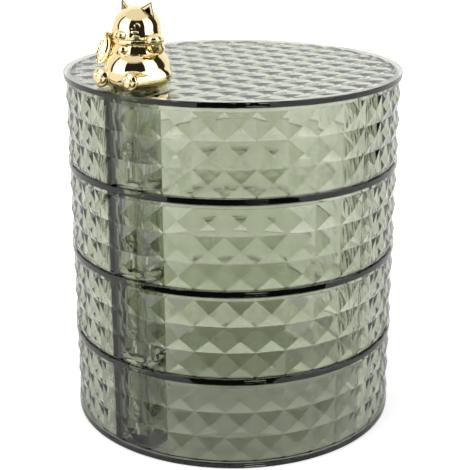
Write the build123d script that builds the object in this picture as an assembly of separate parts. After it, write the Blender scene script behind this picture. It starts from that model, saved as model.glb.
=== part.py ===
from build123d import *
import math
import os

# Rotating jewelry box: four clear faceted trays and a lid that swing out on one hinge near the rim,
# with a gilt lucky cat on the lid. Sizes are in millimetres. +Z is up, the origin is at the middle of
# the base, and the front is towards -Y. Azimuths are in degrees from the front, growing to the right.

# Tray shell
tray_count = 4
body_radius = 54.8          # edge of each floor plate, level with the facet peaks
floor_thickness = 1.9
wall_thickness = 2.0        # from the facet corners to the smooth inside
rim_height = 1.0            # plain strip above the facets
rim_setback = 0.5           # the plain strip stands this far inside the floor plate's edge
edge_chamfer = 0.2
slide_gap = 0.3             # between a tray's rim and the plate that slides over it

# Facets on the wall
facet_columns = 36
facet_rows = 3
facet_height = 8.6
facet_relief = 0.8          # peaks above the corners where four facets meet

# Mould marks
slide_count = 4             # side slides of the mould, which leave a fine seam each
mould_turn = 0.8            # degrees that the facets and seams are turned from the hinge
seam_width = 0.3
seam_height = 0.12
gate_width = 6.7            # shallow notch in each plate's edge, on one seam
gate_height = 1.1
gate_depth = 0.5

# Hinge column
hinge_azimuth = -38.5
hinge_inset = 5.3           # hinge axis to the tray's inside wall
screw_radius = 1.5
screw_length = 10.0
screw_clearance = 0.2
screw_tip = 1.5
screw_head_radius = 2.9
screw_head_height = 1.9
screw_head_round = 0.9
recess_length = 3.5
recess_depth = 1.1
recess_width = 0.7
flat_washer_radius = 3.5
flat_washer_thickness = 0.5
spring_washer_radius = 2.9
spring_washer_thickness = 0.8
spring_washer_slit = 0.5
washer_clearance = 0.1      # washers to the sleeve around them
washer_gap = 0.05           # flat washer to the sleeve's end wall, which turns under it
sleeve_wall = 1.4           # pivot sleeve that hangs from a tray's floor
sleeve_end = 2.0
pivot_clearance = 0.08
boss_wall = 2.2
seat_height = 10.0          # top of the plug that the sleeve above stands over
pilot_margin = 0.6          # pilot hole past the screw's tip
plug_clearance = 0.02

# Lid
lid_thickness = 1.7
lid_overhang = 0.4
lid_pitch = 8.3             # side of each square pyramid on the lid
lid_relief = 0.6
lid_border = 2.2            # plain ring round the pattern
land_margin = 3.0           # plain land round the hinge boss
cap_rim = 1.0
cap_head = 0.8
cap_stem = 5.0

# Lucky cat, which faces out from the hinge. Its own +X is forwards and its base is at 0.
cat_inset = 6.5             # cat's middle to the hinge axis, towards the lid's middle
cat_shift = 3.9             # and to the left
cat_base_radius = 7.8
belly_radius = 9.4
belly_level = 5.8
neck_radius = 5.6
neck_level = 12.8
head_radius = 7.9
head_tall = 11.4
head_rise = 4.8             # head's middle above the neck
head_forward = 1.6
muzzle_radius = 2.2
muzzle_drop = 1.7           # muzzle's middle under the head's
muzzle_sink = 2.1           # and inside the head's front
ear_forward = 0.8
ear_spread = 4.8
ear_rise = 3.0              # ear's root above the head's middle
ear_radius = 3.0
ear_tall = 5.0
ear_lean = 14.0
ear_tip_radius = 0.3
ear_hollow_radius = 1.8
ear_hollow_tall = 3.0
ear_hollow_level = 1.0
ear_hollow_forward = 2.2
collar_radius = 6.5
collar_height = 1.7
bib_radius = 4.4
bib_drop = 2.2              # bib's middle under the neck
bib_proud = 1.5             # bib in front of the chest
bell_radius = 1.5
bell_drop = 1.5             # bell's middle under the neck
bell_sink = 0.2             # bell's middle inside the bib's front
foot_radius = 2.8
sole_round = 1.0
leg_radius = 2.3
foot_level = 3.0
foot_spread = 6.2
foot_reach = 11.0
hip_reach = 2.0
arm_radius = 1.9
shoulder_back = 0.5
shoulder_spread = 7.0
shoulder_drop = 1.8         # shoulders under the neck
elbow_step = (3.2, 2.4, -1.2)       # each step of an arm is forwards, outwards and up
raised_paw_step = (0.5, -0.6, 5.4)
coin_paw_step = (6.9, -0.2, 0.2)
coin_step = (1.0, 1.0, 0.0)         # from the paw to the coin's middle
coin_wide = 5.2
coin_tall = 9.0
coin_thickness = 1.1
coin_turn = 20.0
coin_tilt = -14.0
tail_radius = 1.7
tail_root = (-8.0, 3.2, 2.6)
tail_step = (3.0, 4.4, 2.4)
peg_radius = 1.5
peg_back = 1.0              # peg behind the cat's middle, clear of the cap
peg_length = 1.2
peg_clearance = 0.05

# Worked out from the above
corner_radius = body_radius - facet_relief
inner_radius = corner_radius - wall_thickness
rim_radius = body_radius - rim_setback
facet_band = facet_rows * facet_height
tray_height = floor_thickness + facet_band + rim_height
tier_pitch = tray_height + slide_gap
hinge_radius = inner_radius - hinge_inset
sleeve_bore = flat_washer_radius + washer_clearance
sleeve_radius = sleeve_bore + sleeve_wall
boss_bore = sleeve_radius + pivot_clearance
boss_radius = boss_bore + boss_wall
sleeve_length = tier_pitch - seat_height - slide_gap
screw_hole = screw_radius + screw_clearance
washer_level = seat_height + slide_gap + sleeve_end + washer_gap
head_level_in_tray = washer_level + flat_washer_thickness + spring_washer_thickness
lid_radius = body_radius + lid_overhang
land_radius = boss_radius + land_margin
cap_radius = sleeve_bore + cap_rim
head_level = neck_level + head_rise
bib_front = neck_radius + bib_drop * (belly_radius - neck_radius) / (neck_level - belly_level) + bib_proud
wall_bite = wall_thickness / 2
tile_angle = 360 / facet_columns
turn_to_hinge = hinge_azimuth - 90
overcut = 1.0              # how far a cut runs past the faces it goes through
cut_margin = 0.15          # how far the lid's pattern is cut under its lowest lines


def cylinder(radius, bottom, height, x=0.0, y=0.0):
    """Upright cylinder from a level, at a place on the plan."""
    return Pos(x, y, bottom) * Cylinder(radius, height, align=(Align.CENTER, Align.CENTER, Align.MIN))


def ring_point(radius, angle, level):
    """Point on an upright ring, with its angle from +X."""
    turn = math.radians(angle)
    return Vector(radius * math.cos(turn), radius * math.sin(turn), level)


def triangle(a, b, c):
    """Flat three-cornered face."""
    return Face(Wire.make_polygon([a, b, c], close=True))


def facet_block(bottom):
    """Solid drum whose side is rows of low four-sided pyramids."""

    def corner(row, column):
        angle = (column % facet_columns - 0.5) * tile_angle
        return ring_point(corner_radius, angle, bottom + row * facet_height)

    faces = []
    for row in range(facet_rows):
        for column in range(facet_columns):
            peak = ring_point(body_radius, column * tile_angle, bottom + (row + 0.5) * facet_height)
            around = [
                corner(row, column),
                corner(row, column + 1),
                corner(row + 1, column + 1),
                corner(row + 1, column),
            ]
            for side in range(4):
                faces.append(triangle(around[side], around[(side + 1) % 4], peak))
    for row in (0, facet_rows):
        ring = [corner(row, column) for column in range(facet_columns)]
        faces.append(Face(Wire.make_polygon(ring, close=True)))
    return Rot(0, 0, mould_turn) * Solid(Shell(faces))


def column_shape(radius, bottom, height):
    """Upright column round the hinge axis, with flat flanks that run out into the tray's wall."""
    reach = inner_radius + wall_bite
    round_part = cylinder(radius, bottom, height, hinge_radius)
    flank = Pos(hinge_radius, 0, bottom) * Box(
        reach - hinge_radius, 2 * radius, height, align=(Align.MIN, Align.CENTER, Align.MIN)
    )
    return (round_part + flank) & cylinder(reach, bottom, height)


def gate_notch(radius, thickness):
    """Shallow notch in a plate's edge, on the seam beside the front."""
    block = Pos(radius, 0, thickness / 2) * Box(2 * gate_depth, gate_width, min(gate_height, thickness / 2))
    return Rot(0, 0, mould_turn + 180 / slide_count) * block


def floor_plate(radius, thickness):
    """Round plate with lightly broken edges and its gate notch."""
    disc = cylinder(radius, 0, thickness)
    disc = chamfer(disc.edges(), min(edge_chamfer, thickness / 4))
    return disc - gate_notch(radius, thickness)


def mould_seams():
    """Fine upright seams that the mould's side slides leave on the facets."""
    seam = Pos(corner_radius + seam_height, 0, floor_thickness) * Box(
        seam_height + wall_bite, seam_width, facet_band, align=(Align.MAX, Align.CENTER, Align.MIN)
    )
    turns = [mould_turn + (index + 0.5) * 360 / slide_count for index in range(slide_count)]
    return [Rot(0, 0, turn) * seam for turn in turns]


def pivot_sleeve():
    """Sleeve under a tray or the lid, which turns in the boss of the tray below."""
    return cylinder(sleeve_radius, -sleeve_length, sleeve_length, hinge_radius)


def sleeve_hollow(top):
    """Way for the screw and its driver, with a smaller hole through the sleeve's end wall."""
    bore = cylinder(sleeve_bore, sleeve_end - sleeve_length, top + sleeve_length - sleeve_end, hinge_radius)
    hole = cylinder(screw_hole, -sleeve_length - overcut, sleeve_end + 2 * overcut, hinge_radius)
    return bore + hole


def make_tray(has_sleeve):
    """One tray: floor plate, faceted wall, plain rim and the hinge boss, which stands against the wall."""
    outside = facet_block(floor_thickness) + cylinder(rim_radius, floor_thickness + facet_band, rim_height)
    wall = outside - cylinder(inner_radius, floor_thickness, tray_height)
    boss = column_shape(boss_radius, floor_thickness, tray_height - floor_thickness)
    tray = floor_plate(body_radius, floor_thickness) + wall + boss
    for seam in mould_seams():
        tray += seam
    tray -= cylinder(boss_bore, floor_thickness, tray_height, hinge_radius)
    if has_sleeve:
        tray += pivot_sleeve()
        tray -= sleeve_hollow(floor_thickness)
    return tray


def lid_pyramids(bottom):
    """Slab whose top is a square field of low pyramids, set square to the hinge."""
    half_count = math.ceil(lid_radius / lid_pitch)
    valley = lid_thickness - lid_relief
    steps = range(-half_count, half_count + 1)
    reach = half_count * lid_pitch
    faces = []
    for row in steps[:-1]:
        for column in steps[:-1]:
            x, y = column * lid_pitch, row * lid_pitch
            around = [
                Vector(x, y, valley),
                Vector(x + lid_pitch, y, valley),
                Vector(x + lid_pitch, y + lid_pitch, valley),
                Vector(x, y + lid_pitch, valley),
            ]
            peak = Vector(x + lid_pitch / 2, y + lid_pitch / 2, lid_thickness)
            for side in range(4):
                faces.append(triangle(around[side], around[(side + 1) % 4], peak))
    line = [step * lid_pitch for step in steps]
    for sign in (-1, 1):
        for along_x in (True, False):
            edge = [(p, sign * reach) if along_x else (sign * reach, p) for p in line]
            outline = [Vector(x, y, valley) for x, y in edge]
            outline += [Vector(*edge[-1], bottom), Vector(*edge[0], bottom)]
            faces.append(Face(Wire.make_polygon(outline, close=True)))
    ends = [(-reach, -reach), (reach, -reach), (reach, reach), (-reach, reach)]
    faces.append(Face(Wire.make_polygon([Vector(x, y, bottom) for x, y in ends], close=True)))
    return Solid(Shell(faces))


def make_lid():
    """Lid plate with its pyramids, plain border and hinge land, pivot sleeve and the cat's peg hole."""
    valley = lid_thickness - lid_relief
    cut_level = valley - cut_margin
    field = cylinder(lid_radius - lid_border, cut_level, lid_relief + overcut)
    field -= column_shape(land_radius, cut_level, lid_relief + overcut)
    field -= lid_pyramids(cut_level - cut_margin)
    lid = floor_plate(lid_radius, lid_thickness) - field
    lid += pivot_sleeve()
    lid -= sleeve_hollow(lid_thickness)
    lid -= cylinder(cap_radius, lid_thickness - cap_head, cap_head, hinge_radius)
    cat_x, cat_y = cat_place()
    peg_bottom = lid_thickness - peg_length - peg_clearance
    lid -= cylinder(peg_radius + peg_clearance, peg_bottom, lid_thickness, cat_x - peg_back, cat_y)
    return lid


def make_plug():
    """Clear plug pressed into a boss after the screw below is tight. It takes the next screw."""
    radius = boss_bore - plug_clearance
    plug = cylinder(radius, floor_thickness, seat_height - floor_thickness, hinge_radius)
    pilot_bottom = head_level_in_tray - screw_length - pilot_margin
    return plug - cylinder(screw_radius, pilot_bottom, seat_height, hinge_radius)


def make_screw():
    """Pan-head screw with a cross recess and a blunt point."""
    shank = cylinder(screw_radius, head_level_in_tray - screw_length, screw_length, hinge_radius)
    shank = chamfer(shank.edges().sort_by(Axis.Z)[0], screw_radius / 2, screw_tip)
    head = cylinder(screw_head_radius, head_level_in_tray, screw_head_height, hinge_radius)
    rounding = min(screw_head_round, screw_head_height / 2)
    head = fillet(head.edges().sort_by(Axis.Z)[-1], rounding)
    screw = shank + head
    top = head_level_in_tray + screw_head_height
    for turn in (0, 90):
        slot = Rot(0, 0, turn) * Box(
            recess_length, recess_width, recess_depth, align=(Align.CENTER, Align.CENTER, Align.MAX)
        )
        screw -= Pos(hinge_radius, 0, top) * slot
    return screw


def make_flat_washer():
    """Plain washer on the sleeve's end wall."""
    disc = cylinder(flat_washer_radius, washer_level, flat_washer_thickness, hinge_radius)
    return disc - cylinder(screw_hole, washer_level, flat_washer_thickness, hinge_radius)


def make_spring_washer():
    """Split spring washer, which gives the hinge its drag."""
    level = washer_level + flat_washer_thickness
    ring = cylinder(spring_washer_radius, level, spring_washer_thickness, hinge_radius)
    ring -= cylinder(screw_hole, level, spring_washer_thickness, hinge_radius)
    slit = Pos(hinge_radius, 0, level) * Box(
        spring_washer_radius * 2, spring_washer_slit, spring_washer_thickness,
        align=(Align.MIN, Align.CENTER, Align.MIN)
    )
    return ring - slit


def make_cap():
    """Clear cap that closes the lid's screw hole flush."""
    head = cylinder(cap_radius - peg_clearance, lid_thickness - cap_head, cap_head, hinge_radius)
    stem = cylinder(sleeve_bore - peg_clearance, lid_thickness - cap_stem, cap_stem - cap_head, hinge_radius)
    return head + stem


def cat_place():
    """Middle of the cat on the lid's plan."""
    return hinge_radius - cat_inset, -cat_shift


def turned(outline):
    """Solid turned about the upright axis from a closed half outline."""
    return revolve(Plane.XZ * make_face(outline), Axis.Z)


def limb(points, radius):
    """Round-ended limb of one thickness through a few points."""
    shape = Pos(points[0]) * Sphere(radius)
    for start, end in zip(points, points[1:]):
        line = end - start
        shape += Plane(start, z_dir=line) * cylinder(radius, 0, line.length)
        shape += Pos(end) * Sphere(radius)
    return shape


def cat_body():
    """Round belly on a flat base, drawn in at the neck."""
    base = Line((0, 0), (cat_base_radius, 0))
    side = ThreePointArc((cat_base_radius, 0), (belly_radius, belly_level), (neck_radius, neck_level))
    top = Polyline((neck_radius, neck_level), (0, neck_level), (0, 0))
    return turned(base + side + top)


def ball(radius, x, y, z):
    """Ball at a place, with its seam turned to the back."""
    return Pos(x, y, z) * Rot(0, 0, 180) * Sphere(radius)


def cat_head():
    """Wide flattened head with a small muzzle."""
    half = head_tall / 2
    ends = [(1, 0), (0, 1), (-1, 0)]
    side = Spline((0, -half), (head_radius, 0), (0, half), tangents=ends)
    skull = turned(side + Line((0, half), (0, -half)))
    muzzle = ball(muzzle_radius, head_radius - muzzle_sink, 0, -muzzle_drop)
    return Pos(head_forward, 0, head_level) * (skull + muzzle)


def cat_ear(side):
    """Pointed ear with a hollow front."""
    upright = (Align.CENTER, Align.CENTER, Align.MIN)
    ear = Cone(ear_radius, ear_tip_radius, ear_tall, align=upright)
    hollow = Cone(ear_hollow_radius, ear_tip_radius / 2, ear_hollow_tall, align=upright)
    ear -= Pos(ear_hollow_forward, 0, ear_hollow_level) * hollow
    return Pos(ear_forward, side * ear_spread, head_level + ear_rise) * Rot(-side * ear_lean, 0, 0) * ear


def cat_leg(side):
    """Leg from the hip to the foot, whose sole faces forward."""
    hip = Vector(hip_reach, side * foot_spread, foot_level)
    foot = Vector(foot_reach - foot_radius, side * foot_spread, foot_level)
    sole = Pos(foot) * Rot(0, 90, 0) * Cylinder(
        foot_radius, 2 * foot_radius, align=(Align.CENTER, Align.CENTER, Align.MIN)
    )
    sole = fillet(sole.edges(), min(sole_round, foot_radius / 2))
    return limb([hip, foot], leg_radius) + sole


def arm_points(side, steps):
    """Points of an arm, from the shoulder on one side."""
    points = [Vector(-shoulder_back, side * shoulder_spread, neck_level - shoulder_drop)]
    for forwards, outwards, up in steps:
        points.append(points[-1] + Vector(forwards, side * outwards, up))
    return points


def cat_arms():
    """One arm raised beside the cheek, and the other reaching forward to the coin."""
    raised = limb(arm_points(1, [elbow_step, raised_paw_step]), arm_radius)
    return [raised, limb(arm_points(-1, [coin_paw_step]), arm_radius)]


def cat_coin():
    """Tall oval coin held upright beside the chest."""
    oval = extrude(Ellipse(coin_wide / 2, coin_tall / 2), coin_thickness / 2, both=True)
    upright = Rot(0, 0, 90) * Rot(90, 0, 0) * oval
    middle = arm_points(-1, [coin_paw_step, coin_step])[-1]
    return Pos(middle) * Rot(0, 0, coin_turn) * Rot(coin_tilt, 0, 0) * upright


def cat_tail():
    """Short tail curled up against the back."""
    root = Vector(*tail_root)
    return limb([root, root + Vector(*tail_step)], tail_radius)


def cat_collar():
    """Collar, a round bib under it and a bell in front."""
    ring = cylinder(collar_radius, neck_level - collar_height / 2, collar_height)
    ring = fillet(ring.edges(), collar_height / 3)
    bib = ball(bib_radius, bib_front - bib_radius, 0, neck_level - bib_drop)
    bell = ball(bell_radius, bib_front - bell_sink, 0, neck_level - bell_drop)
    return [ring, bib, bell]


def make_cat():
    """Lucky cat that sits facing out from the hinge, with a peg that goes into the lid."""
    cat = cat_body()
    for arm in cat_arms():
        cat += arm
    cat += cat_head()
    for side in (-1, 1):
        cat += cat_leg(side)
        cat += cat_ear(side)
    cat += cat_tail()
    for trim in cat_collar():
        cat += trim
    cat += cat_coin()
    cat = split(cat, Plane.XY, keep=Keep.TOP)
    cat += cylinder(peg_radius, -peg_length, peg_length + overcut, -peg_back)
    x, y = cat_place()
    return Pos(x, y, lid_thickness) * cat


def place(shape, tier):
    """Turn a piece so that the hinge is at its azimuth, and lift it to its tier."""
    return Pos(0, 0, tier * tier_pitch) * Rot(0, 0, turn_to_hinge) * shape


def build():
    """Every piece by name, in its place in the stack."""
    pieces = {}
    base_tray, turning_tray = make_tray(False), make_tray(True)
    plug, screw = make_plug(), make_screw()
    flat_washer, spring_washer = make_flat_washer(), make_spring_washer()
    for tier in range(tray_count):
        number = tier + 1
        pieces[f"tray_{number}"] = place(turning_tray if tier else base_tray, tier)
        pieces[f"hinge_plug_{number}"] = place(plug, tier)
        pieces[f"hinge_screw_{number}"] = place(screw, tier)
        pieces[f"flat_washer_{number}"] = place(flat_washer, tier)
        pieces[f"spring_washer_{number}"] = place(spring_washer, tier)
    pieces["lid"] = place(make_lid(), tray_count)
    pieces["lid_cap"] = place(make_cap(), tray_count)
    pieces["lucky_cat"] = place(make_cat(), tray_count)
    return pieces


os.makedirs("parts", exist_ok=True)
for name, piece in build().items():
    export_step(piece, f"parts/{name}.step")
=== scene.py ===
import math

import bpy
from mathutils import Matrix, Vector


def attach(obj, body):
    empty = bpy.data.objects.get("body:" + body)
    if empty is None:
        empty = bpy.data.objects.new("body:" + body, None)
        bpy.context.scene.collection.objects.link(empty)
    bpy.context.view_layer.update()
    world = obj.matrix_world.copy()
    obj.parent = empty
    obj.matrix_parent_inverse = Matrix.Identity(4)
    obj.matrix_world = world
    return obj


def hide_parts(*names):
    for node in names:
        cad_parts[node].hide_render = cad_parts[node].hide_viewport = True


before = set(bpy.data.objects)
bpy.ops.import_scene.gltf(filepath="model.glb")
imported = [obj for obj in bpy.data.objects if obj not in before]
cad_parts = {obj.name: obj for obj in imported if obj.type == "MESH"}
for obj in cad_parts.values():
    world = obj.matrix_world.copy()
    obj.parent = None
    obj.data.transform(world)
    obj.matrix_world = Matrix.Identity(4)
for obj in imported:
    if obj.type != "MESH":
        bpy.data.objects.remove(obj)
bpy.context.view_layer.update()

# Rotating jewelry box: four clear faceted trays and a lid on one upright hinge, with a gilt lucky cat.
# Lengths are in metres. Each tray and the lid is modelled with its hinge on +X, then turned to its place.

MM = 0.001

# Tray shell
TRAY_BODIES = ("bottom_tray", "second_tray", "third_tray", "top_tray")
BODY_RADIUS = 54.8 * MM      # to the points of the facets
CORNER_RADIUS = 54.0 * MM    # to the corners between the facets
INNER_RADIUS = 52.0 * MM
FLOOR_THICKNESS = 1.9 * MM
RIM_HEIGHT = 1.0 * MM
RIM_RADIUS = 54.3 * MM
EDGE_CHAMFER = 0.2 * MM
TIER_PITCH = 29.0 * MM
FACET_COLUMNS = 36
FACET_ROWS = 3
FACET_HEIGHT = 8.6 * MM

# Mould marks
MOULD_TURN = math.radians(0.8)     # facets and seams from the hinge
SLIDE_COUNT = 4              # side slides of the mould, with a seam between each two
SEAM_WIDTH = 0.3 * MM
SEAM_HEIGHT = 0.12 * MM
GATE_WIDTH = 6.7 * MM        # notch where the plastic came into the mould
GATE_HEIGHT = 0.85 * MM
GATE_DEPTH = 0.5 * MM

# Hinge
HINGE_AZIMUTH = math.radians(-38.5)              # from the front, negative to the left
HINGE_RADIUS = 46.7 * MM     # from the middle of the box to the hinge
BOSS_RADIUS = 7.28 * MM
BOSS_BORE = 5.08 * MM        # radius, as for the other bores and holes
SLEEVE_RADIUS = 5.0 * MM
SLEEVE_BORE = 3.6 * MM
SLEEVE_LENGTH = 18.7 * MM
SLEEVE_END = 2.0 * MM
SCREW_HOLE = 1.7 * MM
PLUG_RADIUS = 5.06 * MM
PLUG_TOP = 10.0 * MM
PLUG_CHAMFER = 0.25 * MM
PILOT_RADIUS = 1.5 * MM
PILOT_BOTTOM = 3.05 * MM
CONTACT_GAP = 0.05 * MM      # what lies this near to a plug's bore presses against it
CONTACT_MARK = "contact"

# Lid
LID_RADIUS = 55.2 * MM
LID_THICKNESS = 1.7 * MM
LID_PITCH = 8.3 * MM
LID_RELIEF = 0.6 * MM
LID_BORDER = 2.2 * MM
LAND_RADIUS = 10.28 * MM
CAP_RADIUS = 4.6 * MM
CAP_HEAD = 0.8 * MM
CAP_STEM = 5.0 * MM
CAP_CLEARANCE = 0.05 * MM
PEG_HOLE_RADIUS = 1.55 * MM
PEG_HOLE_DEPTH = 1.25 * MM
CAT_INSET = 6.5 * MM         # from the hinge to the cat, towards the lid's middle
CAT_SHIFT = 3.9 * MM         # and towards the cat's right
PEG_BACK = 1.0 * MM          # and from the cat back to its peg

# Lucky cat, which faces +X, with its base at 0. Places are forwards, to its left and up, in millimetres.
BELLY = ((1.0, 0, 4.4), (10.6, 9.6, 8.7))         # middle and half sizes of each round form
CHEST = ((0.3, 0, 11.0), (6.6, 6.6, 4.0))
HEAD = ((0.9, 0, 17.7), (7.2, 7.2, 6.0))
FACE = ((1.1, 0, 14.8), (7.4, 7.7, 8.0))         # broad lower part of the head, cut flat at the chin
CHIN = 14.6
MUZZLE = ((8.2, 0.75, 15.8), (1.7, 1.25, 1.4))
NOSE = ((9.6, 0, 16.9), (0.45, 0.7, 0.4))
# The painted-shade slot paints the outer band and the pit of each ear's front dark brown, as painted shade
# in the hollow.
GILT_SLOT, PAINTED_SHADE_SLOT = 0, 1
EAR_SIDES = 3
EAR_ROOT = (0.1, 3.5, 20.8)
EAR_LEAN = math.radians(28.7)
EAR_PITCH = math.radians(10)
EAR_TURN = math.radians(12)
EAR_RADIUS = 4.3             # from the middle of the ear's foot to a corner
EAR_DEPTH = 0.65             # ear's front to back, as a share of a regular three-sided point
EAR_TALL = 5.2
EAR_RIMS = ((0.3, 0.15, PAINTED_SHADE_SLOT), (0.6, 0.3, GILT_SLOT))     # width, the step down inside it, and slot
EAR_PIT = 1.6
SHOULDER = (-0.3, 6.2, 12.3)
ELBOW = (1.7, 9.0, 12.0)
RAISED_WRIST = (2.4, 9.1, 13.4)
RAISED_PAW = ((3.3, 9.1, 14.8), (2.6, 2.3, 1.9))
ARM_RADIUS = 1.9
COIN_ARM = ((-0.3, -6.2, 11.4), (3.6, -7.7, 11.0), (6.4, -7.2, 13.6))
COIN_ARM_RADIUS = 1.5
COIN_PAW = ((7.3, -6.2, 15.5), (1.1, 1.0, 1.0))
THIGH = ((-0.3, 7.2, 3.4), (4.6, 3.6, 3.3))
HIP = (1.2, 7.9, 3.0)
FOOT = (10.0, 5.9, 3.0)
LEG_RADIUS = 2.6
SOLE = ((11.0, 5.9, 3.0), (1.2, 2.95, 3.0))
PAD_HALF = (0.35, 1.2, 0.85)                     # broad pad's half sizes
PAD_BACK = 0.1               # its middle, behind the front of the sole
PAD_DROP = 0.8               # and below the middle of the sole
TOE_HALF = (0.4, 0.5, 0.5)
TOE_BACK = 0.2
TOE_RISE = 1.3
TOE_STEP = 1.3
TOE_ARCH = 0.35              # how far the outer toes lie below the middle one
TAIL = ((-9.2, -1.6, 2.2), (-9.9, 0.0, 4.0), (-9.0, 1.4, 6.0))
TAIL_RADIUS = 1.2
COLLAR = (6.7, 13.7, 1.0)    # radius, level and thickness
COLLAR_WIDE = 1.05           # how much wider than long the collar is
COLLAR_FORWARD = 0.5
COLLAR_SIDES = (72, 16)      # round the neck, and round the cord
BIB = ((10.2, 12.9), (8.4, 7.3))                 # lower and upper level of the bib, and its radius there
BIB_FORWARD = 0.6
BIB_ROUND = 0.45
BIB_STEPS = 4
BELL = ((8.1, 1.0, 11.7), (1.6, 1.6, 1.6))
COIN_PLACE = (8.0, -7.2, 10.7)
COIN_HALF = (2.0, 4.35)
COIN_THICKNESS = 1.0
COIN_SIDES = 64
COIN_STEPS = ((0.5, -0.3), (0.7, 0.3))           # how far in each step of its faces lies, and its height
COIN_TURN = math.radians(12)
COIN_TILT = math.radians(-17)
COIN_RECLINE = math.radians(-12)
EYE_TURN = math.radians(44)
EYE_NOD = math.radians(-6)
EYE_SINK = 0.17
EYE_LEVEL = 18.5
EYE_RADIUS = 0.75
EYE_LINE = 0.12              # radius of the raised line that draws the eye
EYE_SIDES = (32, 10)         # round the eye, and round its line
WHISKERS = ((15.7, 40), (16.9, 38), (18.0, 36))   # level, and degrees round the cheek from the nose
WHISKER = (0.2, 1.0, 0.22)
PEG = (1.5, 1.2)             # radius, and depth below the cat's base
PEG_ROOT = 1.0               # how far it runs up into the cat
SOFT_VOXEL, SOFT_PASSES = 0.3, 12                # skin of the body and head, whose forms melt together
TRIM_VOXEL, TRIM_PASSES = 0.17, 1                # skin of the whole cat, whose trims stay crisp
SMOOTHING = 0.5              # share of the way to its neighbours' middle that a pass moves a point

# Camera, which stands where the photographed ellipses of the lid and the trays put it
CAMERA_SENSOR = 36
CAMERA_LENS = 86.4
CAMERA_PLACE = (0, -0.368, 0.1857)
CAMERA_DOWN = 18.96          # degrees below level
CAMERA_TURN = -0.10          # degrees, positive to the left
CAMERA_RANGE = (0.01, 20)

# Studio: level of the surround by its direction, in degrees from the camera's side to the right
SURROUND = (
    (-180, 1.15), (-102, 1.0), (-98, 0.05), (-90, 0.05), (-84, 2.6), (-37, 2.6), (-32, 0.02), (40, 0.02),
    (45, 2.6), (84, 2.6), (90, 0.03), (118, 0.03), (124, 1.0), (180, 1.15)
)
SOFTBOX_LEVEL = 2.6
CEILING = ((46, 0), (54, 1))                     # how far the ceiling shows at an elevation
CEILING_LEVEL = 0.9
TABLE_SIZE = 8
TABLE_GAP = 0.2 * MM         # how far the table lies under the box
TABLE_WHITE = 0.85
TABLE_ROUGHNESS = 0.9
TABLE_GLOW = 0.18            # light that the table gives off by itself
TABLE_LIFT = 0.3             # and what the camera sees on top, so that it stays white
CARD_LOW = (-0.22, -1.5, 0.5 * MM)               # black card that lies in front, for the reflections alone
CARD_HIGH = (0.22, -0.105, 0.5 * MM)
CARD_GREY = 0.06
LIGHT_BOUNCES = 24

# Finishes
MOTTLE_DETAIL = 2
PLASTIC_FINENESS = 60        # spots of tone in a metre, about
METAL_FINENESS = 400
WAVE_HEIGHT = 0.1 * MM
PLASTIC_WAVES = 0.03

# How the shapes are made
BITE = 0.5 * MM              # how far joined shapes run into each other
OVERCUT = 1.0 * MM           # how far a cut runs past the faces it goes through
FINE = 144                   # sides of the large round shapes
MEDIUM = 96                  # sides of the hinge's round shapes
BALL_SIDES, BALL_RINGS = 48, 24
LIMB_SIDES = 32
CREASE = math.radians(6)     # edges sharper than this stay crisp
TOLERANCE = 0.001 * MM       # places closer than this count as the same
ALIGNED = 0.99               # directions whose cosine is above this count as the same

# Worked out from the above
TRAY_COUNT = len(TRAY_BODIES)
FACET_BAND = FACET_ROWS * FACET_HEIGHT
TRAY_HEIGHT = FLOOR_THICKNESS + FACET_BAND + RIM_HEIGHT
HALF_TILE = math.pi / FACET_COLUMNS
PLUG_HEIGHT = PLUG_TOP - FLOOR_THICKNESS
TURN_TO_HINGE = HINGE_AZIMUTH - math.pi / 2


def activate(piece):
    """Selects one piece alone and makes it active."""
    bpy.ops.object.select_all(action="DESELECT")
    piece.select_set(True)
    bpy.context.view_layer.objects.active = piece


def added(name):
    """Names the primitive that was just added and settles its place into its mesh."""
    piece = bpy.context.object
    piece.name = piece.data.name = name
    activate(piece)
    bpy.ops.object.transform_apply(location=True, rotation=True, scale=True)
    return piece


def placed(piece, place=(0, 0, 0), turn=(0, 0, 0), scale=(1, 1, 1)):
    """Scales, turns and moves a piece about the origin, and settles that into its mesh."""
    activate(piece)
    piece.location, piece.rotation_euler, piece.scale = place, turn, scale
    bpy.ops.object.transform_apply(location=True, rotation=True, scale=True)
    return piece


def edit(piece, kind, test):
    """Enters edit mode with only the faces, edges or vertices that pass a test selected."""
    activate(piece)
    mesh = piece.data
    for group in (mesh.vertices, mesh.edges, mesh.polygons):
        group.foreach_set("select", [False] * len(group))
    group = {"FACE": mesh.polygons, "EDGE": mesh.edges, "VERT": mesh.vertices}[kind]
    group.foreach_set("select", [bool(test(part)) for part in group])
    bpy.context.tool_settings.mesh_select_mode = (kind == "VERT", kind == "EDGE", kind == "FACE")
    bpy.ops.object.mode_set(mode="EDIT")


def leave_edit():
    """Goes back from edit mode."""
    bpy.ops.object.mode_set(mode="OBJECT")


def cylinder(name, radius, bottom, height, x=0.0, y=0.0, sides=MEDIUM, turn=0.0):
    """Upright cylinder from a level."""
    bpy.ops.object.select_all(action="DESELECT")
    bpy.ops.mesh.primitive_cylinder_add(
        vertices=sides, radius=radius, depth=height,
        location=(x, y, bottom + height / 2), rotation=(0, 0, turn)
    )
    return added(name)


def block(name, low, high):
    """Box between two corners."""
    bpy.ops.object.select_all(action="DESELECT")
    middle = [(a + b) / 2 for a, b in zip(low, high)]
    bpy.ops.mesh.primitive_cube_add(size=1, location=middle)
    bpy.context.object.scale = [b - a for a, b in zip(low, high)]
    return added(name)


def combine(target, operation, *tools):
    """Joins tools to a piece, cuts them from it or keeps what is in both, and removes the tools."""
    for tool in tools:
        activate(target)
        change = target.modifiers.new("combine", "BOOLEAN")
        change.operation, change.solver, change.object = operation, "EXACT", tool
        bpy.ops.object.modifier_apply(modifier=change.name)
        bpy.data.objects.remove(tool)
    return target


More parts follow.
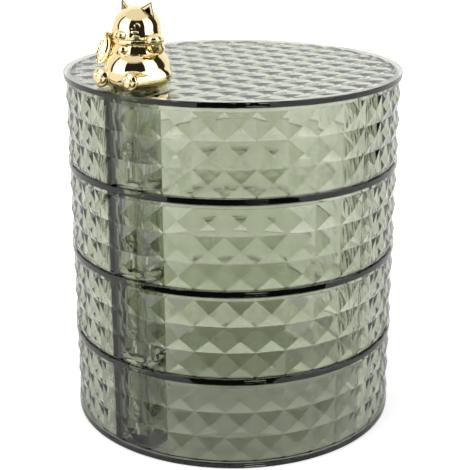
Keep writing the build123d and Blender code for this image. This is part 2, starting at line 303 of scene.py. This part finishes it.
def cut_flat(piece, level):
    """Cuts a form flat at a level in millimetres, and closes it there."""
    edit(piece, "FACE", lambda face: True)
    bpy.ops.mesh.bisect(plane_co=(0, 0, level * MM), plane_no=(0, 0, 1), clear_inner=True, use_fill=True)
    leave_edit()
    return piece


def chamfer_rims(piece, width, segments=2):
    """Breaks the sharp edges round a disc's flat faces."""
    points = piece.data.vertices

    def lies_level(edge):
        first, second = (points[index].co.z for index in edge.vertices)
        return abs(first - second) < TOLERANCE

    edit(piece, "EDGE", lies_level)
    bpy.ops.mesh.bevel(offset=width, segments=segments, affect="EDGES")
    leave_edit()
    return piece


def hinge_column(name, radius, bottom, height, reach):
    """Upright column round the hinge, whose flat flanks run out towards the wall."""
    column = cylinder(name, radius, bottom, height, x=HINGE_RADIUS)
    edit(column, "VERT", lambda point: point.co.x > HINGE_RADIUS + TOLERANCE)
    bpy.ops.transform.resize(value=(0, 1, 1), center_override=(reach, 0, 0))
    leave_edit()
    return column


def facet_block():
    """Drum whose side is rows of low pyramids. Its ends run on a little, to be joined to what they meet."""
    turn = HALF_TILE + MOULD_TURN
    drum = cylinder("facets", CORNER_RADIUS, FLOOR_THICKNESS, FACET_BAND, sides=FACET_COLUMNS, turn=turn)
    for row in range(1, FACET_ROWS):
        edit(drum, "FACE", lambda face: True)
        level = FLOOR_THICKNESS + row * FACET_HEIGHT
        bpy.ops.mesh.bisect(plane_co=(0, 0, level), plane_no=(0, 0, 1))
        leave_edit()
    edit(drum, "FACE", lambda face: abs(face.normal.z) < ALIGNED)
    bpy.ops.mesh.poke(offset=BODY_RADIUS - CORNER_RADIUS * math.cos(HALF_TILE))
    leave_edit()
    for side in (-1, 1):
        edit(drum, "FACE", lambda face: face.normal.z * side > ALIGNED)
        bpy.ops.mesh.extrude_region_move(TRANSFORM_OT_translate={"value": (0, 0, side * BITE)})
        leave_edit()
    return drum


def seam_turn(index):
    """Direction of a seam of the mould from the hinge."""
    return MOULD_TURN + (index + 0.5) * math.tau / SLIDE_COUNT


def gate_notch(radius, thickness):
    """Block that cuts the shallow notch in a plate's edge, on the first seam from the hinge."""
    low = (radius - GATE_DEPTH, -GATE_WIDTH / 2, (thickness - GATE_HEIGHT) / 2)
    high = (radius + GATE_DEPTH, GATE_WIDTH / 2, (thickness + GATE_HEIGHT) / 2)
    return placed(block("gate_notch", low, high), turn=(0, 0, seam_turn(0)))


def mould_seams():
    """Fine upright ridges that the mould's side slides leave on the facets."""
    low = (CORNER_RADIUS - BITE, -SEAM_WIDTH / 2, FLOOR_THICKNESS - EDGE_CHAMFER)
    high = (CORNER_RADIUS + SEAM_HEIGHT, SEAM_WIDTH / 2, FLOOR_THICKNESS + FACET_BAND)
    return [placed(block("seam", low, high), turn=(0, 0, seam_turn(index))) for index in range(SLIDE_COUNT)]


def floor_plate(name, radius, thickness):
    """Round plate with lightly broken edges and its gate notch."""
    plate = chamfer_rims(cylinder(name, radius, 0, thickness, sides=FINE), EDGE_CHAMFER)
    return combine(plate, "DIFFERENCE", gate_notch(radius, thickness))


def hinge_boss():
    """Boss against a tray's wall, trimmed so that it ends inside the wall."""
    height = TRAY_HEIGHT - FLOOR_THICKNESS + BITE
    boss = hinge_column("boss", BOSS_RADIUS, FLOOR_THICKNESS - BITE, height, BODY_RADIUS)
    limit = cylinder("limit", (INNER_RADIUS + CORNER_RADIUS) / 2, 0, TIER_PITCH, sides=FINE)
    return combine(boss, "INTERSECT", limit)


def tray_shell(name, has_sleeve):
    """One tray: floor plate, faceted wall, plain rim and the hinge boss with its bore."""
    tray = floor_plate(name, BODY_RADIUS, FLOOR_THICKNESS)
    rim = cylinder("rim", RIM_RADIUS, FLOOR_THICKNESS + FACET_BAND, RIM_HEIGHT, sides=FINE)
    combine(tray, "UNION", facet_block(), rim, *mould_seams())
    combine(tray, "DIFFERENCE", cylinder("inside", INNER_RADIUS, FLOOR_THICKNESS, TRAY_HEIGHT, sides=FINE))
    combine(tray, "UNION", hinge_boss())
    plug_bore = cylinder("plug_bore", BOSS_BORE, FLOOR_THICKNESS, PLUG_HEIGHT, x=HINGE_RADIUS)
    sleeve_bore = cylinder("sleeve_bore", BOSS_BORE, PLUG_TOP, TRAY_HEIGHT, x=HINGE_RADIUS)
    combine(tray, "DIFFERENCE", plug_bore, sleeve_bore)
    if has_sleeve:
        add_sleeve(tray, FLOOR_THICKNESS)
    return tray


def add_sleeve(plate, top):
    """Pivot sleeve under a plate, with the screw's way down through both."""
    sleeve = cylinder("sleeve", SLEEVE_RADIUS, -SLEEVE_LENGTH, SLEEVE_LENGTH + BITE, x=HINGE_RADIUS)
    bottom = SLEEVE_END - SLEEVE_LENGTH
    bore = cylinder("bore", SLEEVE_BORE, bottom, top + OVERCUT - bottom, x=HINGE_RADIUS)
    hole = cylinder("hole", SCREW_HOLE, -SLEEVE_LENGTH - OVERCUT, SLEEVE_END + 2 * OVERCUT, x=HINGE_RADIUS)
    combine(plate, "UNION", sleeve)
    combine(plate, "DIFFERENCE", bore, hole)


def pyramid_field():
    """What is cut from the lid's top, between its border and its land, to leave pyramids."""
    valley = LID_THICKNESS - LID_RELIEF
    half_count = math.ceil(LID_RADIUS / LID_PITCH)
    reach = half_count * LID_PITCH
    pyramids = block("pyramids", (-reach, -reach, valley / 2), (reach, reach, valley))
    edit(pyramids, "FACE", lambda face: face.normal.z > ALIGNED)
    bpy.ops.mesh.subdivide(number_cuts=2 * half_count - 1)
    leave_edit()
    edit(pyramids, "FACE", lambda face: face.normal.z > ALIGNED)
    bpy.ops.mesh.poke(offset=LID_RELIEF)
    leave_edit()
    bottom = (valley / 2 + valley) / 2
    height = LID_THICKNESS - bottom + OVERCUT
    field = cylinder("field", LID_RADIUS - LID_BORDER, bottom, height, sides=FINE)
    reach = LID_RADIUS + OVERCUT
    land = hinge_column("land", LAND_RADIUS, bottom - OVERCUT, height + 2 * OVERCUT, reach)
    return combine(field, "DIFFERENCE", land, pyramids)


def lid_shell():
    """Lid plate with a square field of pyramids, plain border and land, pivot sleeve and peg hole."""
    lid = floor_plate("lid_shell", LID_RADIUS, LID_THICKNESS)
    combine(lid, "DIFFERENCE", pyramid_field())
    add_sleeve(lid, LID_THICKNESS)
    seat = cylinder("cap_seat", CAP_RADIUS, LID_THICKNESS - CAP_HEAD, CAP_HEAD + OVERCUT, x=HINGE_RADIUS)
    peg_x = HINGE_RADIUS - CAT_INSET - PEG_BACK
    bottom = LID_THICKNESS - PEG_HOLE_DEPTH
    peg_hole = cylinder("peg_hole", PEG_HOLE_RADIUS, bottom, LID_THICKNESS, x=peg_x, y=-CAT_SHIFT)
    return combine(lid, "DIFFERENCE", seat, peg_hole)


def hinge_plug():
    """Clear plug in the lower part of a boss, with a pilot hole for the screw."""
    plug = cylinder("plug", PLUG_RADIUS, FLOOR_THICKNESS, PLUG_HEIGHT, x=HINGE_RADIUS)
    chamfer_rims(plug, PLUG_CHAMFER)
    pilot = cylinder("pilot", PILOT_RADIUS, PILOT_BOTTOM, PLUG_TOP, x=HINGE_RADIUS)
    return combine(plug, "DIFFERENCE", pilot)


def lid_cap():
    """Clear stepped cap that closes the lid's screw hole."""
    head = cylinder("cap", CAP_RADIUS - CAP_CLEARANCE, LID_THICKNESS - CAP_HEAD, CAP_HEAD, x=HINGE_RADIUS)
    chamfer_rims(head, CAP_CLEARANCE)
    stem_radius = SLEEVE_BORE - CAP_CLEARANCE
    stem = cylinder("stem", stem_radius, LID_THICKNESS - CAP_STEM, CAP_STEM - CAP_HEAD / 2, x=HINGE_RADIUS)
    return combine(head, "UNION", stem)


def mirrored(place, side):
    """A place on the cat, moved to its other side where side is -1."""
    return place[0], side * place[1], place[2]


def ball(middle, half):
    """Round form with its own half size each way, in millimetres."""
    bpy.ops.object.select_all(action="DESELECT")
    bpy.ops.mesh.primitive_uv_sphere_add(
        segments=BALL_SIDES, ring_count=BALL_RINGS, radius=MM, location=Vector(middle) * MM
    )
    bpy.context.object.scale = half
    return added("form")


def limb(points, radius):
    """Round-ended limb through a few points, in millimetres."""
    half = (radius, radius, radius)
    parts = [ball(points[0], half)]
    for start, end in zip(points, points[1:]):
        line = Vector(end) - Vector(start)
        middle = (Vector(start) + Vector(end)) / 2
        bpy.ops.object.select_all(action="DESELECT")
        bpy.ops.mesh.primitive_cylinder_add(
            vertices=LIMB_SIDES, radius=radius * MM, depth=line.length * MM, location=middle * MM,
            rotation=line.to_track_quat("Z", "Y").to_euler()
        )
        parts += [added("form"), ball(end, half)]
    return parts


def joined(parts, name):
    """One object from several."""
    bpy.ops.object.select_all(action="DESELECT")
    for part in parts:
        part.select_set(True)
    bpy.context.view_layer.objects.active = parts[0]
    bpy.ops.object.join()
    parts[0].name = name
    return parts[0]


def melt(piece, voxel, passes):
    """Makes one skin of the joined forms and softens where they meet."""
    activate(piece)
    skin = piece.modifiers.new("skin", "REMESH")
    skin.mode, skin.voxel_size = "VOXEL", voxel * MM
    bpy.ops.object.modifier_apply(modifier=skin.name)
    soft = piece.modifiers.new("soft", "SMOOTH")
    soft.factor, soft.iterations = SMOOTHING, passes
    bpy.ops.object.modifier_apply(modifier=soft.name)
    return piece


def cat_body():
    """Belly, chest, legs, arms and tail as one soft skin, cut flat where the cat sits."""
    forms = [ball(*BELLY), ball(*CHEST), ball(*COIN_PAW), ball(*RAISED_PAW)]
    for side in (-1, 1):
        forms.append(ball(mirrored(THIGH[0], side), THIGH[1]))
        forms += limb([mirrored(HIP, side), mirrored(FOOT, side)], LEG_RADIUS)
    forms += limb([SHOULDER, ELBOW, RAISED_WRIST], ARM_RADIUS)
    forms += limb(COIN_ARM, COIN_ARM_RADIUS)
    forms += limb(TAIL, TAIL_RADIUS)
    return cut_flat(melt(joined(forms, "cat_body"), SOFT_VOXEL, SOFT_PASSES), 0)


def cat_head():
    """Head that is broad at the cheeks and cut flat under the chin."""
    forms = [ball(*HEAD), ball(*FACE)]
    return cut_flat(melt(joined(forms, "cat_head"), SOFT_VOXEL, SOFT_PASSES), CHIN)


def cat_ear(side):
    """Three-cornered ear whose front is sunk in steps inside its rim, with a deeper pit in the middle. Its
    outer band and its pit are painted dark brown, as painted shade.
    """
    bpy.ops.object.select_all(action="DESELECT")
    bpy.ops.mesh.primitive_cone_add(
        vertices=EAR_SIDES, radius1=EAR_RADIUS * MM, radius2=0, depth=EAR_TALL * MM,
        location=(0, 0, EAR_TALL / 2 * MM), rotation=(0, 0, -math.pi / (2 * EAR_SIDES))
    )
    ear = placed(added("ear"), scale=(EAR_DEPTH, 1, 1))
    ear.data.materials.append(GILT)
    ear.data.materials.append(PAINTED_SHADE_GILT)
    front = max(ear.data.polygons, key=lambda face: face.normal.x).normal.copy()
    for rim, depth, slot in EAR_RIMS:
        edit_sunk_face(ear, front, slot)
        bpy.ops.mesh.inset(thickness=rim * MM)
        bpy.ops.mesh.extrude_region_move(TRANSFORM_OT_translate={"value": -front * depth * MM})
        leave_edit()
    edit_sunk_face(ear, front, PAINTED_SHADE_SLOT)
    bpy.ops.mesh.poke(offset=-EAR_PIT * MM)
    leave_edit()
    placed(ear, turn=(0, 0, side * EAR_TURN))
    return placed(ear, Vector(mirrored(EAR_ROOT, side)) * MM, (-side * EAR_LEAN, EAR_PITCH, 0))


def edit_sunk_face(ear, front, slot):
    """Enters edit mode on the deepest face of an ear's front, the last one made, with a material slot."""
    def faces_front(face):
        return face.normal.dot(front) > ALIGNED and len(face.vertices) == EAR_SIDES

    sunk = [face for face in ear.data.polygons if faces_front(face)][-1]
    sunk.material_index = slot
    number = sunk.index
    edit(ear, "FACE", lambda face: face.index == number)


def cat_soles(side):
    """Sole that faces forwards, with one broad pad and three toe pads standing on it."""
    (out, across, up), half = SOLE
    front = out + half[0]
    parts = [ball(mirrored((out, across, up), side), half)]
    parts.append(ball(mirrored((front - PAD_BACK, across, up - PAD_DROP), side), PAD_HALF))
    for step in (-1, 0, 1):
        toe = (front - TOE_BACK, across + step * TOE_STEP, up + TOE_RISE - TOE_ARCH * abs(step))
        parts.append(ball(mirrored(toe, side), TOE_HALF))
    return parts


def cat_collar():
    """Round cord that lies round the neck."""
    radius, level, thickness = COLLAR
    neck_sides, cord_sides = COLLAR_SIDES
    bpy.ops.object.select_all(action="DESELECT")
    bpy.ops.mesh.primitive_torus_add(
        major_segments=neck_sides, minor_segments=cord_sides, major_radius=radius * MM,
        minor_radius=thickness * MM, location=(COLLAR_FORWARD * MM, 0, level * MM)
    )
    bpy.context.object.scale = (1, COLLAR_WIDE, 1)
    return added("collar")


def cat_bib():
    """Bib that hangs from the collar, a little wider at its lower rim."""
    (low, high), (wide, narrow) = BIB
    bib = cylinder("bib", wide * MM, low * MM, (high - low) * MM, x=BIB_FORWARD * MM)
    taper = narrow / wide
    edit(bib, "VERT", lambda point: point.co.z > (low + high) / 2 * MM)
    bpy.ops.transform.resize(value=(taper, taper, 1), center_override=(BIB_FORWARD * MM, 0, 0))
    leave_edit()
    return chamfer_rims(bib, BIB_ROUND * MM, BIB_STEPS)


def cat_eye(side):
    """Closed eye, a raised crescent on the head."""
    eye_sides, line_sides = EYE_SIDES
    bpy.ops.object.select_all(action="DESELECT")
    bpy.ops.mesh.primitive_torus_add(
        major_segments=eye_sides, minor_segments=line_sides, major_radius=EYE_RADIUS * MM,
        minor_radius=EYE_LINE * MM, location=(0, 0, 0), rotation=(0, math.pi / 2, 0)
    )
    eye = cut_flat(added("eye"), 0)
    middle, half = HEAD
    turn = side * EYE_TURN
    forwards = middle[0] + (half[0] - EYE_SINK) * math.cos(turn)
    sideways = (half[1] - EYE_SINK) * math.sin(turn)
    return placed(eye, (forwards * MM, sideways * MM, EYE_LEVEL * MM), (0, EYE_NOD, turn))


def cat_whiskers(side):
    """Three short raised whiskers that lie across the cheek."""
    middle, (out, wide, tall) = FACE
    whiskers = []
    for level, degrees in WHISKERS:
        shrink = math.sqrt(1 - ((level - middle[2]) / tall) ** 2)
        turn = side * math.radians(degrees)
        forwards = middle[0] + out * shrink * math.cos(turn)
        sideways = wide * shrink * math.sin(turn)
        whisker = ball((0, 0, 0), WHISKER)
        whiskers.append(placed(whisker, (forwards * MM, sideways * MM, level * MM), (0, 0, turn)))
    return whiskers


def cat_coin():
    """Tall oval coin with a raised rim and a plain raised oval."""
    coin = cylinder("coin", MM, -COIN_THICKNESS / 2 * MM, COIN_THICKNESS * MM, sides=COIN_SIDES)
    placed(coin, scale=(*COIN_HALF, 1))
    for inset, height in COIN_STEPS:
        edit(coin, "FACE", lambda face: abs(face.normal.z) > ALIGNED and len(face.vertices) == COIN_SIDES)
        bpy.ops.mesh.inset(thickness=inset * MM, use_individual=True)
        bpy.ops.transform.shrink_fatten(value=height * MM)
        leave_edit()
    placed(coin, turn=(math.pi / 2, 0, math.pi / 2))
    placed(coin, turn=(COIN_TILT, COIN_RECLINE, 0))
    return placed(coin, Vector(COIN_PLACE) * MM, (0, 0, COIN_TURN))


def cat_peg():
    """Round peg under the cat, which stands in the lid's hole."""
    radius, depth = PEG
    return cylinder("peg", radius * MM, -depth * MM, (depth + PEG_ROOT) * MM, x=-PEG_BACK)


def lucky_cat():
    """Seated lucky cat: soft round forms under crisp trims, with hollow ears."""
    forms = [cat_body(), cat_head(), cat_collar(), cat_bib()]
    forms += [ball(*BELL), ball(*NOSE), cat_coin(), cat_peg()]
    for side in (-1, 1):
        forms += [cat_eye(side), ball(mirrored(MUZZLE[0], side), MUZZLE[1])]
        forms += cat_soles(side) + cat_whiskers(side)
    cat = melt(joined(forms, "cat"), TRIM_VOXEL, TRIM_PASSES)
    cat.data.materials.append(GILT)
    cat = joined([cat, cat_ear(-1), cat_ear(1)], "cat")
    return placed(cat, (HINGE_RADIUS - CAT_INSET, -CAT_SHIFT, LID_THICKNESS))


def mark_contact(shape):
    """Marks the faces where a plug presses against its boss, for light to go straight through them."""
    marks = shape.data.attributes.new(CONTACT_MARK, "FLOAT", "FACE").data
    for face in shape.data.polygons:
        out_from_axis = math.hypot(face.center.x - HINGE_RADIUS, face.center.y)
        at_bore = abs(out_from_axis - BOSS_BORE) < CONTACT_GAP
        marks[face.index].value = float(at_bore and FLOOR_THICKNESS < face.center.z < PLUG_TOP)


def settle(shape, name, body, node, tier, material):
    """Turns a finished shape to its place in the stack and hands it to its body."""
    shape.name = shape.data.name = name
    if not shape.data.materials:
        shape.data.materials.append(material)
    if node.startswith(("tray", "hinge_plug")):
        mark_contact(shape)
    placed(shape, (0, 0, tier * TIER_PITCH), (0, 0, TURN_TO_HINGE))
    bpy.ops.object.shade_smooth_by_angle(angle=CREASE)
    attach(shape, body)
    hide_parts(node)


def copy_of(shape):
    """Copy of a shape with its own mesh."""
    activate(shape)
    bpy.ops.object.duplicate()
    return bpy.context.object


def plate_hardware(number):
    """Gives the screw and the washers of a hinge their metal."""
    for node, material in (("hinge_screw", STEEL), ("flat_washer", STEEL), ("spring_washer", SPRING_STEEL)):
        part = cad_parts[f"{node}_{number}"]
        part.data.materials.clear()
        part.data.materials.append(material)


def new_material(name):
    """New material, with its node tree and its shader."""
    material = bpy.data.materials.new(name)
    material.use_nodes = True
    return material, material.node_tree, material.node_tree.nodes["Principled BSDF"]


def grey(level):
    """A grey as a colour socket takes it."""
    return level, level, level, 1


def calculate(tree, operation, *values):
    """Maths node whose inputs are links or numbers."""
    node = tree.nodes.new("ShaderNodeMath")
    node.operation = operation
    for socket, value in zip(node.inputs, values):
        if isinstance(value, (int, float)):
            socket.default_value = value
        else:
            tree.links.new(value, socket)
    return node.outputs["Value"]


def mottle_group():
    """Slow change of tone and a faint waviness, as moulded or plated surfaces have."""
    group = bpy.data.node_groups.new("mottle", "ShaderNodeTree")
    group.interface.new_socket("Fineness", in_out="INPUT", socket_type="NodeSocketFloat")
    group.interface.new_socket("Low", in_out="INPUT", socket_type="NodeSocketColor")
    group.interface.new_socket("High", in_out="INPUT", socket_type="NodeSocketColor")
    group.interface.new_socket("Color", in_out="OUTPUT", socket_type="NodeSocketColor")
    group.interface.new_socket("Height", in_out="OUTPUT", socket_type="NodeSocketFloat")
    nodes, links = group.nodes, group.links
    inputs, outputs = nodes.new("NodeGroupInput"), nodes.new("NodeGroupOutput")
    place = nodes.new("ShaderNodeTexCoord")
    noise = nodes.new("ShaderNodeTexNoise")
    noise.inputs["Detail"].default_value = MOTTLE_DETAIL
    mix = nodes.new("ShaderNodeMix")
    mix.data_type = "RGBA"
    links.new(place.outputs["Object"], noise.inputs["Vector"])
    links.new(inputs.outputs["Fineness"], noise.inputs["Scale"])
    links.new(noise.outputs["Fac"], mix.inputs["Factor"])
    links.new(inputs.outputs["Low"], mix.inputs["A"])
    links.new(inputs.outputs["High"], mix.inputs["B"])
    links.new(mix.outputs["Result"], outputs.inputs["Color"])
    links.new(noise.outputs["Fac"], outputs.inputs["Height"])
    return group


def add_mottle(tree, shader, low, high, fineness, waves):
    """Places the mottle group in a material, for its colour and its bump."""
    group = tree.nodes.new("ShaderNodeGroup")
    group.node_tree = MOTTLE
    group.inputs["Fineness"].default_value = fineness
    group.inputs["Low"].default_value = (*low, 1)
    group.inputs["High"].default_value = (*high, 1)
    tree.links.new(group.outputs["Color"], shader.inputs["Base Color"])
    bump = tree.nodes.new("ShaderNodeBump")
    bump.inputs["Strength"].default_value = waves
    bump.inputs["Distance"].default_value = WAVE_HEIGHT
    tree.links.new(group.outputs["Height"], bump.inputs["Height"])
    tree.links.new(bump.outputs["Normal"], shader.inputs["Normal"])


def clear_plastic(name, low, high, ior, tint, density):
    """Polished clear plastic, whose tint deepens with its thickness, and which doesn't show in contact."""
    material, tree, shader = new_material(name)
    add_mottle(tree, shader, low, high, PLASTIC_FINENESS, PLASTIC_WAVES)
    shader.inputs["Transmission Weight"].default_value = 1
    shader.inputs["Roughness"].default_value = 0
    shader.inputs["IOR"].default_value = ior
    contact = tree.nodes.new("ShaderNodeAttribute")
    contact.attribute_name = CONTACT_MARK
    tree.links.new(calculate(tree, "SUBTRACT", 1, contact.outputs["Fac"]), shader.inputs["Alpha"])
    smoke = tree.nodes.new("ShaderNodeVolumeAbsorption")
    smoke.inputs["Color"].default_value = (*tint, 1)
    smoke.inputs["Density"].default_value = density
    tree.links.new(smoke.outputs["Volume"], tree.nodes["Material Output"].inputs["Volume"])
    return material


def metal(name, low, high, roughness, waves):
    """Plated or polished metal."""
    material, tree, shader = new_material(name)
    add_mottle(tree, shader, low, high, METAL_FINENESS, waves)
    shader.inputs["Metallic"].default_value = 1
    shader.inputs["Roughness"].default_value = roughness
    return material


def matt_paint(name, white, roughness):
    """Plain matt paint, with its node tree and its shader."""
    material, tree, shader = new_material(name)
    shader.inputs["Base Color"].default_value = grey(white)
    shader.inputs["Roughness"].default_value = roughness
    shader.inputs["Specular IOR Level"].default_value = 0
    return material, tree, shader


def make_camera():
    """Camera at the photographed angle, which looks down a little on the lid."""
    data = bpy.data.cameras.new("camera")
    data.sensor_width, data.lens = CAMERA_SENSOR, CAMERA_LENS
    data.clip_start, data.clip_end = CAMERA_RANGE
    camera = bpy.data.objects.new("camera", data)
    camera.location = CAMERA_PLACE
    camera.rotation_euler = (math.radians(90 - CAMERA_DOWN), 0, math.radians(CAMERA_TURN))
    bpy.context.collection.objects.link(camera)
    bpy.context.scene.camera = camera


def ramp(tree, value, stops):
    """Grey level that runs from stop to stop as a value goes from 0 to 1."""
    node = tree.nodes.new("ShaderNodeValToRGB")
    elements = node.color_ramp.elements
    while len(elements) > 1:
        elements.remove(elements[0])
    elements[0].position, elements[0].color = stops[0][0], grey(stops[0][1])
    for place, level in stops[1:]:
        elements.new(place).color = grey(level)
    tree.links.new(value, node.inputs["Fac"])
    return node.outputs["Color"]


def make_surround():
    """Soft boxes at the left and right, a dark room at the camera's side and a pale ceiling and back."""
    world = bpy.data.worlds.new("studio")
    bpy.context.scene.world = world
    world.use_nodes = True
    tree = world.node_tree
    place = tree.nodes.new("ShaderNodeTexCoord")
    axes = tree.nodes.new("ShaderNodeSeparateXYZ")
    tree.links.new(place.outputs["Generated"], axes.inputs["Vector"])
    towards_camera = calculate(tree, "MULTIPLY", axes.outputs["Y"], -1)
    azimuth = calculate(tree, "ARCTAN2", axes.outputs["X"], towards_camera)
    half_way = 0.5           # the camera's side lies in the middle of the ramp
    share = calculate(tree, "MULTIPLY_ADD", azimuth, 1 / math.tau, half_way)
    stops = [(half_way + degrees / 360, level / SOFTBOX_LEVEL) for degrees, level in SURROUND]
    walls = ramp(tree, share, stops)
    height = ramp(tree, axes.outputs["Z"], [(math.sin(math.radians(level)), mix) for level, mix in CEILING])
    shade = tree.nodes.new("ShaderNodeMix")
    shade.data_type = "RGBA"
    tree.links.new(height, shade.inputs["Factor"])
    tree.links.new(walls, shade.inputs["A"])
    shade.inputs["B"].default_value = grey(CEILING_LEVEL / SOFTBOX_LEVEL)
    background = tree.nodes["Background"]
    tree.links.new(shade.outputs["Result"], background.inputs["Color"])
    background.inputs["Strength"].default_value = SOFTBOX_LEVEL
    seen = tree.nodes.new("ShaderNodeBackground")
    seen.inputs["Color"].default_value = grey(1)
    path = tree.nodes.new("ShaderNodeLightPath")
    choice = tree.nodes.new("ShaderNodeMixShader")
    tree.links.new(path.outputs["Is Camera Ray"], choice.inputs["Fac"])
    tree.links.new(background.outputs["Background"], choice.inputs[1])
    tree.links.new(seen.outputs["Background"], choice.inputs[2])
    tree.links.new(choice.outputs["Shader"], tree.nodes["World Output"].inputs["Surface"])


def make_table():
    """Plain white table, lit a little from below as a light table is."""
    bpy.ops.object.select_all(action="DESELECT")
    bpy.ops.mesh.primitive_plane_add(size=TABLE_SIZE, location=(0, 0, -TABLE_GAP))
    table = added("studio_floor")
    paint, tree, shader = matt_paint("floor_paint", TABLE_WHITE, TABLE_ROUGHNESS)
    shader.inputs["Emission Color"].default_value = grey(1)
    path = tree.nodes.new("ShaderNodeLightPath")
    lift = calculate(tree, "MULTIPLY", path.outputs["Is Camera Ray"], TABLE_LIFT)
    tree.links.new(calculate(tree, "ADD", lift, TABLE_GLOW), shader.inputs["Emission Strength"])
    table.data.materials.append(paint)


def make_card():
    """Black card on the table between the camera and the box, which only reflections show."""
    bpy.ops.object.select_all(action="DESELECT")
    middle = [(a + b) / 2 for a, b in zip(CARD_LOW, CARD_HIGH)]
    bpy.ops.mesh.primitive_plane_add(size=1, location=middle)
    bpy.context.object.scale = (CARD_HIGH[0] - CARD_LOW[0], CARD_HIGH[1] - CARD_LOW[1], 1)
    card = added("studio_card")
    card.visible_camera = card.visible_diffuse = card.visible_transmission = card.visible_shadow = False
    card.data.materials.append(matt_paint("card_paint", CARD_GREY, 1)[0])


def make_studio():
    """Table, card and surround, with enough bounces of light for four clear trays."""
    make_table()
    make_card()
    make_surround()
    scene = bpy.context.scene
    scene.view_settings.view_transform = "Standard"
    scene.cycles.max_bounces = scene.cycles.transmission_bounces = LIGHT_BOUNCES


MOTTLE = mottle_group()
SMOKY = clear_plastic(
    "smoky_plastic", low=(0.93, 0.94, 0.90), high=(0.97, 0.98, 0.95), ior=1.55,
    tint=(0.253, 0.318, 0.065), density=170
)
PLUG = clear_plastic(
    "plug_plastic", low=(0.93, 0.94, 0.92), high=(0.97, 0.98, 0.96), ior=1.5,
    tint=(0.40, 0.45, 0.30), density=10
)
STEEL = metal("plated_steel", low=(0.75, 0.75, 0.77), high=(0.85, 0.85, 0.87), roughness=0.2, waves=0.1)
SPRING_STEEL = metal(
    "spring_steel", low=(0.42, 0.42, 0.44), high=(0.52, 0.52, 0.54), roughness=0.3, waves=0.1
)
GILT = metal("gilt_plating", low=(0.88, 0.71, 0.38), high=(0.93, 0.77, 0.44), roughness=0.03, waves=0.02)
# Dark brown metal that paints shade into the ears' outer band and pit.
PAINTED_SHADE_GILT = metal("painted_shade_plating", low=(0.09, 0.07, 0.04), high=(0.14, 0.11, 0.07), roughness=0.2, waves=0.02)

make_camera()
make_studio()

base_tray = tray_shell("base_tray", has_sleeve=False)
turning_tray = tray_shell("turning_tray", has_sleeve=True)
plug = hinge_plug()
for tier, body in enumerate(TRAY_BODIES):
    number = tier + 1
    shell = copy_of(turning_tray if tier else base_tray)
    settle(shell, f"{body}_shell", body, f"tray_{number}", tier, SMOKY)
    settle(copy_of(plug), f"{body}_plug", body, f"hinge_plug_{number}", tier, PLUG)
    plate_hardware(number)
for spare in (base_tray, turning_tray, plug):
    bpy.data.objects.remove(spare)
settle(lid_shell(), "lid_plate", "lid", "lid", TRAY_COUNT, SMOKY)
settle(lid_cap(), "screw_cap", "lid", "lid_cap", TRAY_COUNT, SMOKY)
settle(lucky_cat(), "cat_figure", "lid", "lucky_cat", TRAY_COUNT, GILT)
